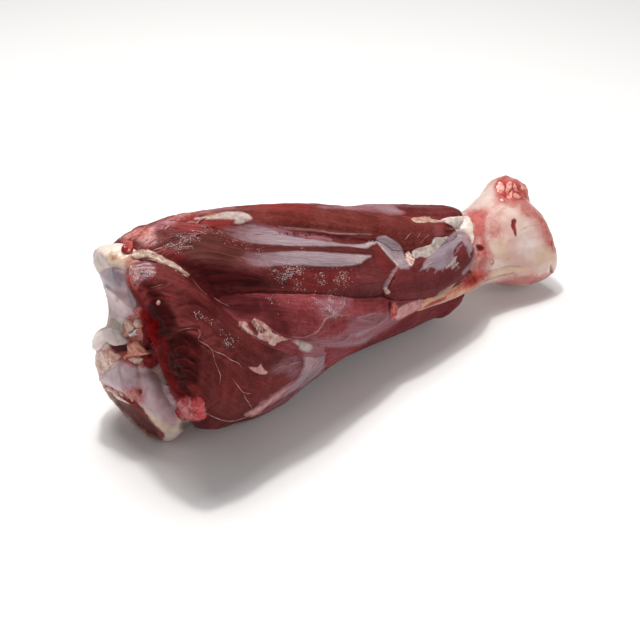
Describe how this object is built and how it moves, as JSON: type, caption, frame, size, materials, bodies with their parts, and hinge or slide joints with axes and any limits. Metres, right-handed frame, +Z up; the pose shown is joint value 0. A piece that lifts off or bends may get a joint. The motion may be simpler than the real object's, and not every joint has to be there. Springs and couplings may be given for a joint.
{
  "type": "raw beef shank",
  "caption": "whole raw bone-in beef foreshank lying on its side: dark red muscles with silverskin along one leg bone, elbow joint at one end, bare knuckle at the other",
  "frame": {"origin": "on the surface the shank rests on, under the middle of its bounding box", "axes": "+X along the limb from the elbow joint to the knuckle, +Z up, -Y towards the side with the fan-shaped front muscle"},
  "size_m": [0.401, 0.154, 0.1604],
  "materials": {
    "muscle_red": "moist satin",
    "muscle_dark": "moist satin",
    "muscle_pale": "moist satin",
    "tendon": "moist satin",
    "bone": "moist satin"
  },
  "bodies": {
    "root": {"shank_bone": "bone", "banded_muscle": "muscle_red", "belly_muscle": "muscle_pale", "front_muscle": "muscle_red", "top_muscle": "muscle_red", "wrist_muscle": "muscle_dark", "tendon_strand": "tendon", "far_muscle": "muscle_red", "under_muscle": "muscle_dark", "back_muscle": "muscle_red"}
  },
  "joints": []
}
